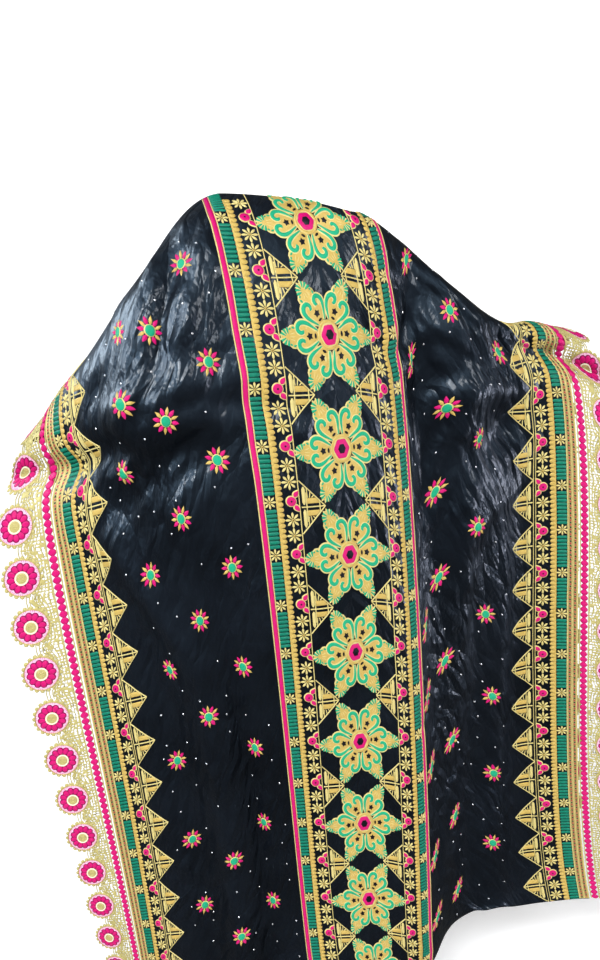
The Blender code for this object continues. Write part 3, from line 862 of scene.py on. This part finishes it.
def make_border_repeat():
    """Blossom, two gold flowers, scallops and green bars; x from the inner line outwards."""
    made = Motif()
    made.include(make_blossom(), at=(0.012, 0.0), mirror=-1)
    made.include(make_floret(0.0129), at=[(0.012, -0.031), (0.012, 0.031)])
    for k in range(10):
        y = (k - 4.5) * PITCH / 10
        bead = circle(0.0060, 9, centre=(0.0305, y), squash=0.74)
        made.patch("gold", bead, (0.0305, y), 0.0016, rings=(1, 0.7), grain=np.pi / 2)
    made.stroke("gold", upright(0.0345, np.linspace(-PITCH / 2, PITCH / 2, 10)), 0.0052, 0.0014, blunt=True)
    ground = upright(0.0473, np.linspace(0.0115, PITCH - 0.0115, 8))
    made.stroke("green", ground, 0.0178, 0.0008, blunt=True)
    for k in range(9):
        y = 0.0145 + k * 0.00737
        bar = [(0.0368, y), (0.0395, y), (0.0475, y), (0.0555, y), (0.0573, y)]
        made.stroke("jade", bar, [0.0040, 0.0056, 0.0062, 0.0058, 0.0040], 0.0014, 0.0006)
    made.include(make_floret(0.0112, core=0.0018), at=(0.0475, 0.0))
    return made


medallion = make_medallion()
centre_triangle = make_triangle(0.042)
side_triangle = make_triangle(0.048)
border = make_border_repeat()

SKIN = 0.0004  # the stitches start this far out, just inside the cloth's outer face

panel = Motif()
panel.include(medallion, at=[(0.0, 1.495 - MEDALLION_PITCH * k) for k in range(9)])
panel.sew(front, "medallions", SKIN)

base = Motif()
for side in (1, -1):
    word = "left" if side < 0 else "right"
    triangles = [0.175 + MEDALLION_PITCH * j for j in range(8)]
    base.include(centre_triangle, at=[(side * 0.080, u) for u in triangles], mirror=-side)
    base.include(border, at=[(side * 0.083, 0.010 + PITCH * k) for k in range(18)], mirror=side)
    base.stroke("light", upright(side * 0.0815, np.linspace(0.002, 1.58, 250)), 0.0016, 0.0015, blunt=True)
    ribbon = Motif()
    ups = np.linspace(0.002, 1.575, 260)
    ribbon.stroke("magenta", upright(side * 0.1450, ups), 0.0084, 0.0018, blunt=True)
    for across in (0.1398, 0.1502):
        ribbon.stroke("light", upright(side * across, ups), 0.0022, 0.0016, blunt=True)
    made = ribbon.sew(front, f"ribbon_{word}_satin", SKIN)
    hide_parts(f"ribbon_{word}")
base.sew(front, "panel", SKIN)

for side, word in ((-1, "left"), (1, "right")):
    band = Motif()
    band.include(side_triangle, at=[(side * 0.497, 0.044 + PITCH * k) for k in range(18)], mirror=-side)
    band.include(border, at=[(side * 0.503, 0.073 - PITCH + PITCH * k) for k in range(18)], mirror=side)
    ups = np.linspace(0.002, 1.56, 250)
    for across in (0.4972, 0.5016):
        band.stroke("light", upright(side * across, ups), 0.0014, 0.0015, blunt=True)
    band.sew(front, "band_" + word, SKIN)

# scattered stars: across, up from the hem
STARS_LEFT = [
    (-0.21, 1.44), (-0.342, 1.352), (-0.276, 1.345), (-0.195, 1.288), (-0.333, 1.248), (-0.274, 1.215),
    (-0.203, 1.14), (-0.394, 1.141), (-0.285, 1.062), (-0.21, 0.968), (-0.372, 0.975), (-0.293, 0.886),
    (-0.385, 0.795), (-0.219, 0.785), (-0.313, 0.71), (-0.22, 0.62), (-0.414, 0.605), (-0.224, 0.455),
    (-0.407, 0.432), (-0.311, 0.40), (-0.397, 0.276), (-0.223, 0.271), (-0.308, 0.224), (-0.40, 0.10),
    (-0.226, 0.09),
]
STARS_RIGHT = [
    (0.222, 1.379), (0.299, 1.262), (0.201, 1.237), (0.428, 1.208), (0.278, 1.107), (0.35, 1.044),
    (0.249, 0.973), (0.324, 0.887), (0.248, 0.816), (0.372, 0.70), (0.254, 0.647), (0.382, 0.522),
    (0.266, 0.468), (0.382, 0.343), (0.272, 0.287), (0.373, 0.171), (0.266, 0.102), (0.184, 0.79),
    (0.178, 0.66), (0.176, 0.517), (0.176, 0.32), (0.176, 0.166),
]


def make_star(turn):
    """Petals by turns magenta and gold round an emerald centre with a gold rim."""
    made = Motif()
    for k in range(12):
        angle = 2 * np.pi * k / 12 + turn
        gold = k % 2 == 0
        thread, *sizes = ("gold", 0.0135, 0.0052, 8, 1.15) if gold else ("magenta", 0.0128, 0.0064, 8, 0.9)
        shape = turned(petal_shape(*sizes) + (0.0072, 0), angle)
        made.patch(thread, shape, shape.mean(axis=0), 0.0014, rings=(1, 0.6), grain=angle + np.pi / 2)
    made.patch("light", circle(0.0086, 20), (0, 0), 0.0014, rings=(1, 0.94, 0.5))
    made.patch("emerald", circle(0.0068, 18, squash=1.1), (0, 0), 0.0009, 0.0012, rings=(1, 0.92, 0.5))
    return made


stars = Motif()
rng = np.random.default_rng(5)
for place in STARS_LEFT + STARS_RIGHT:
    wide = 1.28 if 0.17 < place[0] < 0.28 and place[1] < 1.25 else 1.0
    stars.include(make_star(rng.uniform(0, 0.5)), at=place, stretch=(wide, 1.07))
stars.sew(front, "stars", SKIN)

# small glass stones scattered over the field
stone = Motif()
stone.patch("stone", circle(0.0017, 7), (0, 0), 0.0016, rings=(1, 0.8, 0.35))
stones = Motif()
spots = []
for u in np.arange(0.03, 1.50, 0.048):
    for a in np.arange(-0.43, 0.44, 0.052):
        a2, u2 = a + rng.uniform(-0.016, 0.016), u + rng.uniform(-0.016, 0.016)
        near = min(np.hypot(a2 - x, u2 - y) for x, y in STARS_LEFT + STARS_RIGHT)
        if 0.160 < abs(a2) < 0.440 and near > 0.026 and rng.random() < 0.62:
            spots.append((a2, u2))
stones.include(stone, at=spots)
stones.sew(front, "stones", SKIN)

# Cloth shells


def cloth_shell(sheet, name, columns, rows, wall):
    """One layer of the cloth, from its cut at the neck and the shoulder fold down to the hem."""
    across = np.linspace(-HALF_CLOTH, HALF_CLOTH, columns)
    length = sheet.length_at(across)
    start_down = np.where(np.abs(across) < NECK_HALF, neck_start(sheet.layer, across), 0.0)
    share = np.linspace(0, 1, rows)
    down = start_down[:, None] + (length - start_down)[:, None] * share
    wide = np.repeat(across[:, None], rows, axis=1)
    up = length[:, None] - down
    points = sheet.place(wide, up)
    quads = grid_quads(columns, rows)
    flat = up
    if sheet.layer == "back":  # one length of cloth: the back carries on where the front ends
        quads = quads[:, ::-1]
        flat = front.length_at(across)[:, None] + down
    thread = np.stack([wide, flat], axis=2).reshape(-1, 2)
    piece = build(name, points.reshape(-1, 3), quads, [], thread, "cloth")
    wallmod = piece.modifiers.new("Wall", "SOLIDIFY")
    wallmod.thickness = wall
    wallmod.offset = 0.0
    evened = piece.modifiers.new("Evened", "WEIGHTED_NORMAL")
    evened.mode = "FACE_AREA"
    evened.weight = 95
    return piece


front_cloth = cloth_shell(front, "boubou_front", 193, 245, 0.0012)
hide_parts("cloth_front")
back_cloth = cloth_shell(back, "boubou_back", 105, 140, 0.0012)
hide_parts("cloth_back")

# Lace, chain and braid at the open sides


def lobed(radius, depth, lobes, power, count, phase=0.0):
    """Outline of a disc with round lobes."""
    t = np.arange(count) * 2 * np.pi / count
    reach = radius + depth * np.abs(np.sin(t * lobes / 2 + phase)) ** power
    return np.stack([reach * np.cos(t), reach * np.sin(t)], axis=1)


def make_rosette(fine):
    """A lace disc: lobed rim, pale ring, twelve round magenta petals and a coiled centre.

    Its inner face has a plain magenta ring.
    """
    made = Motif()
    lobes = 20
    rim = lobed(0.0320, 0.0052, lobes, 0.45, 80 if fine else 40)
    made.patch("lace", rim, (0, 0), 0.0010, rings=(1, 0.94, 0.64, 0.32), both=True)
    if fine:
        for k in range(lobes):
            angle = 2 * np.pi * (k + 0.5) / lobes
            lobe = turned(petal_shape(0.0056, 0.0062, 5, 0.7, 1.2) + (0.0312, 0), angle)
            made.patch("lace", lobe, lobe.mean(axis=0), 0.0010, 0.0008, rings=(1, 0.6), grain=angle)
    corners = 40 if fine else 24
    made.patch("pink", circle(0.0305, corners), (0, 0), 0.0006, 0.0008, rings=(1, 0.94, 0.64, 0.32))
    made.stroke("braid", circle(0.0312, corners), 0.0022, 0.0010, 0.0008, closed=True)
    edge = lobed(0.0243, 0.0032, 12, 0.7, 48 if fine else 24, np.pi / 2)
    made.patch("plum", edge, (0, 0), 0.0006, 0.0012, rings=(1, 0.94, 0.64, 0.36))
    for radius, width, thread in ((0.0205, 0.0130, "magenta"), (0.0108, 0.0028, "cream")):
        made.stroke(thread, circle(radius, 24 if fine else 20), width, -0.0008, -0.0009, closed=True)
    for k in range(12):
        angle = 2 * np.pi * k / 12
        petal = turned(petal_shape(0.0158, 0.0102, 9 if fine else 6, 0.62, 1.2) + (0.0105, 0), angle)
        made.patch("magenta", petal, petal.mean(axis=0), 0.0013, 0.0014, rings=(1, 0.8, 0.45), grain=angle)
        if fine:
            for shift in (-0.12, 0.0, 0.12):
                tick = turned(mm([(27.6, 0), (30.4, 0)]), angle + np.pi / 12 + shift)
                made.stroke("magenta", tick, 0.0007, 0.0003, 0.0013, blunt=True)
    made.patch("lace", circle(0.0122, 20), (0, 0), 0.0006, 0.0024, rings=(1, 0.9, 0.5))
    made.stroke("cream", circle(0.0108, 20), 0.0030, 0.0009, 0.0028, closed=True)
    if fine:
        turns = np.linspace(0, 5.2 * np.pi, 34)
        reach = 0.0010 + 0.0074 * turns / turns[-1]
        coil = np.stack([reach * np.cos(turns), reach * np.sin(turns)], axis=1)
        made.stroke("lace", coil, 0.0018, 0.0009, 0.0028)
    return made


# millimetres out from LEAVES_AT and up from half-way between two rosettes, length, width, turn in degrees
LEAVES = [
    (8.0, 0.0, 19, 8, 90),
    (12.5, 13.0, 13, 6, 125),
    (12.5, -13.0, 13, 6, 55),
    (4.5, 24.0, 12, 5, 80),
    (4.5, -24.0, 12, 5, 100),
]


def make_leaves(fine):
    """Lace leaves between two rosettes, and short threads that tie the discs; x points outwards."""
    made = Motif()
    for x, y, length, width, turn in LEAVES if fine else LEAVES[:3]:
        shape = circle(1, 10 if fine else 7) * (length / 2000, width / 2000)
        shape = turned(shape, np.radians(turn)) + mm((x, y))
        made.stroke("lace", shape, 0.0019, 0.0011, closed=True, both=True)
        vein = turned(mm([(-length * 0.3, 0), (length * 0.3, 0)]), np.radians(turn)) + mm((x, y))
        made.stroke("lace", vein, 0.0015, 0.0009, both=True)
    for x, reach in ((14.5, 10.0), (20.0, 8.6), (25.5, 9.2), (31.0, 11.5)):
        tie = mm([(x, -reach), (x + 0.8, 0), (x - 0.4, reach)])
        made.stroke("lace", tie, 0.0018, 0.0010, both=True, blunt=True)
    return made


def lace_net(sheet, name, side, pitch, columns, top):
    """Openwork band between the magenta chain and the rosettes, with holes cut right through."""
    rng = np.random.default_rng(11)
    repeats = int(top / pitch) + 4
    lines = np.arange(repeats) * pitch
    lines_u = np.sort(np.concatenate([lines, lines + pitch * 0.30]))
    lines = np.arange(columns) / columns
    share = np.sort(np.concatenate([lines, lines + 0.30 / columns]))
    share = np.concatenate([share, [1.0]])
    offset = (lines_u / PITCH) % 1 - 0.5
    outer = 0.6330 + 0.0190 * np.clip((np.abs(offset) * 2 - 0.45) / 0.55, 0, 1) ** 1.5
    across = NET_INNER + (outer - NET_INNER)[None, :] * share[:, None]
    ups = np.repeat(lines_u[None, :], len(share), axis=0)
    stray = pitch * 0.22
    across[1:-1] += rng.uniform(-stray, stray, across[1:-1].shape)
    ups[:, 1:-1] += rng.uniform(-stray, stray, ups[:, 1:-1].shape)
    if side < 0:
        across, ups = -across[::-1], ups[::-1]
    i, j = np.meshgrid(np.arange(across.shape[0] - 1), np.arange(across.shape[1] - 1), indexing="ij")
    between = (i if side > 0 else across.shape[0] - 2 - i) % 2 == 1
    hole = between & (j % 2 == 1)
    hole &= rng.random(hole.shape) > 0.10
    thread_between = (~hole) & between & (j % 2 == 0)
    hole |= thread_between & (rng.random(hole.shape) < 0.16)
    keep = ~hole & (ups[:-1, :-1] < sheet.length_at(across[:-1, :-1]))
    quads = grid_quads(across.shape[0], across.shape[1], keep)[:, ::-1]
    if sheet.layer == "back":
        quads = quads[:, ::-1]
    points = sheet.place(across, ups).reshape(-1, 3)
    used, quads = np.unique(quads, return_inverse=True)
    quads = quads.reshape(-1, 4)
    thread = np.stack([across, ups], axis=2).reshape(-1, 2)[used]
    piece = build(name, points[used], quads, [], thread, "lace")
    wall = piece.modifiers.new("Wall", "SOLIDIFY")
    wall.thickness = 0.0014
    wall.offset = 0.0
    return piece


# thread, across, width, height
BRAID_ROWS = [
    ("braid", 0.5714, 0.0200, 0.0009),
    ("light", 0.5613, 0.0026, 0.0017),
    ("light", 0.5713, 0.0022, 0.0016),
    ("light", 0.5816, 0.0030, 0.0018),
]
CHAIN_STEP = 0.0122
# how square the chain's stones of thread are: 1 is a diamond, 2 an ellipse
CHAIN_POWER = 1.45
SPECK_STEP = 0.0094

for layer, sheet in (("front", front), ("back", back)):
    for side, word in ((-1, "left"), (1, "right")):
        fine = layer == "front"
        top = float(sheet.length_at(side * 0.62)) - 0.003
        pitch, columns = (0.0058, 5) if fine else (0.0080, 3)
        net = lace_net(sheet, f"lace_{layer}_{word}_net", side, pitch, columns, top)
        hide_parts(f"lace_{layer}_{word}")
        rosettes = Motif()
        levels = [0.044 + PITCH * k for k in range(18) if 0.044 + PITCH * k < top]
        rosettes.include(make_rosette(fine), at=upright(side * ROSETTE_CENTRE, levels))
        rosettes.sew(sheet, f"rosettes_{layer}_{word}")[0]
        leaves = Motif()
        between_discs = [u + PITCH / 2 for u in levels[:-1]]
        leaves.include(make_leaves(fine), at=upright(side * LEAVES_AT, between_discs), mirror=side)
        leaves.sew(sheet, f"leaves_{layer}_{word}")[0]
        chain = Motif()
        ups = np.arange(0.006, float(sheet.length_at(side * CHAIN_AT)) - 0.003, CHAIN_STEP)
        gem = Motif()
        corner = circle(1, 12 if fine else 8)
        corner /= (np.abs(corner) ** CHAIN_POWER).sum(axis=1, keepdims=True) ** (1 / CHAIN_POWER)
        gem.patch("magenta", corner * (0.0086, 0.0074), (0, 0), 0.0017, rings=(1, 0.72), both=True)
        chain.include(gem, at=upright(side * CHAIN_AT, ups))
        made = chain.sew(sheet, f"chain_{layer}_{word}")
        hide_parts(f"cord_{layer}_{word}")
        edges = Motif()
        for a in LACE_EDGES:
            line = np.linspace(0.002, float(sheet.length_at(side * a)) + 0.0008, 200 if fine else 150)
            edges.stroke("lace", upright(side * a, line), 0.0024, 0.0010, both=True, blunt=True)
        edges.sew(sheet, f"lace_edges_{layer}_{word}")[0]
        braid = Motif()
        for thread, a, w, h in BRAID_ROWS:
            line = np.linspace(0.002, float(sheet.length_at(side * a)) + 0.0008, 200 if fine else 140)
            braid.stroke(thread, upright(side * a, line), w, h, blunt=True)
        made = braid.sew(sheet, f"braid_{layer}_{word}_woven", SKIN)
        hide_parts(f"braid_{layer}_{word}")
        specks = Motif()
        for column, (a, inner, outer) in enumerate(((0.5663, "green", "red"), (0.5763, "red", "green"))):
            for thread, shift in ((inner, 0.0), (outer, 0.0047)):
                speck = Motif()
                oval = circle(1, 6 if fine else 4) * (0.0017, 0.0021)
                oval = turned(oval, np.radians(35 * side))
                speck.patch(thread, oval, (0, 0), 0.0006, 0.0013, rings=(1, 0.6))
                ups = np.arange(0.006 + shift + 0.0023 * column, top, SPECK_STEP)
                specks.include(speck, at=upright(side * a, ups))
        specks.sew(sheet, f"specks_{layer}_{word}", SKIN)

# Floor and light
# The floor is a wide round bowl: flat, then bent up into a wall.
floor_mesh = bpy.data.meshes.new("floor")
low = cad_box[0][2] - 0.004
bend = np.linspace(0, np.pi / 2, 13)
profile = [(10.5 + 3.5 * np.sin(t), low + 3.5 * (1 - np.cos(t))) for t in bend]
profile = [(2.0, low), *profile, (14.0, low + 8.2)]
AROUND = 64
turns = np.arange(AROUND) * 2 * np.pi / AROUND
circles = [(r * np.cos(t), r * np.sin(t), z) for r, z in profile for t in turns]
bowl = []
for near in range(0, (len(profile) - 1) * AROUND, AROUND):
    for k in range(AROUND):
        k2 = (k + 1) % AROUND
        bowl.append((near + k, near + AROUND + k, near + AROUND + k2, near + k2))
floor_mesh.from_pydata(circles, [], [tuple(range(AROUND))] + bowl)
floor_mesh.shade_smooth()
floor = bpy.data.objects.new("floor", floor_mesh)
floor.visible_glossy = False
scene.collection.objects.link(floor)
pale, tree, shader, where, _, _ = start("floor_pale", 0.9, specular=0.1)
colour = mix_colour(tree, noise(tree, where, 3), (0.93, 0.93, 0.93), (0.96, 0.96, 0.96))
tree.links.new(colour, shader.inputs["Base Color"])
shader.inputs["Emission Color"].default_value = (1.0, 1.0, 1.0, 1.0)
shader.inputs["Emission Strength"].default_value = 0.30
floor_mesh.materials.append(pale)

world = bpy.data.worlds.new("studio")
scene.world = world
world.use_nodes = True
world.node_tree.nodes["Background"].inputs["Color"].default_value = (1.0, 1.0, 1.0, 1.0)
world.node_tree.nodes["Background"].inputs["Strength"].default_value = 0.05


def area_light(name, place, aim, size, power, colour, gloss_only):
    data = bpy.data.lights.new(name, "AREA")
    data.shape = "RECTANGLE"
    data.size, data.size_y = size
    data.energy = power
    data.color = colour
    lamp = bpy.data.objects.new(name, data)
    lamp.location = place
    lamp.visible_camera = False
    lamp.visible_diffuse = not gloss_only
    x, y, z = np.array(aim, float) - np.array(place, float)
    lamp.rotation_euler = (np.arctan2(np.hypot(x, y), -z), 0.0, np.arctan2(y, x) - np.pi / 2)
    scene.collection.objects.link(lamp)


# name, place, aim, size, power, colour, seen in the gloss alone
LIGHTS = [
    ("key", (-1.9, -2.3, 1.9), (-0.1, 0.0, -0.5), (0.8, 1.2), 54, (0.88, 0.94, 1.0), False),
    ("strip", (-2.6, -0.9, 0.9), (0.0, 0.0, -0.6), (0.35, 1.8), 22, (0.88, 0.94, 1.0), False),
    ("fill", (2.4, -2.2, 0.9), (0.2, 0.0, -0.7), (0.8, 1.4), 30, (0.90, 0.94, 1.0), False),
    ("sleeve_sheen", (-2.4, -0.3, 0.9), (-0.3, -0.1, -0.3), (1.3, 1.5), 46, (0.75, 0.87, 1.0), True),
    ("rim_sheen", (-2.0, 1.6, 0.4), (-0.35, -0.05, -0.3), (1.3, 1.5), 40, (0.72, 0.86, 1.0), True),
    ("side_sheen", (2.4, -0.2, -0.9), (0.3, 0.0, -0.7), (0.5, 1.1), 13, (0.80, 0.84, 1.0), True),
]
for row in LIGHTS:
    area_light(*row)
sun = bpy.data.lights.new("sun", "SUN")
sun.energy = 2.2
sun.angle = np.radians(30)
sun_object = bpy.data.objects.new("sun", sun)
sun_object.rotation_euler = (np.radians(46), 0.0, np.radians(-24))
scene.collection.objects.link(sun_object)
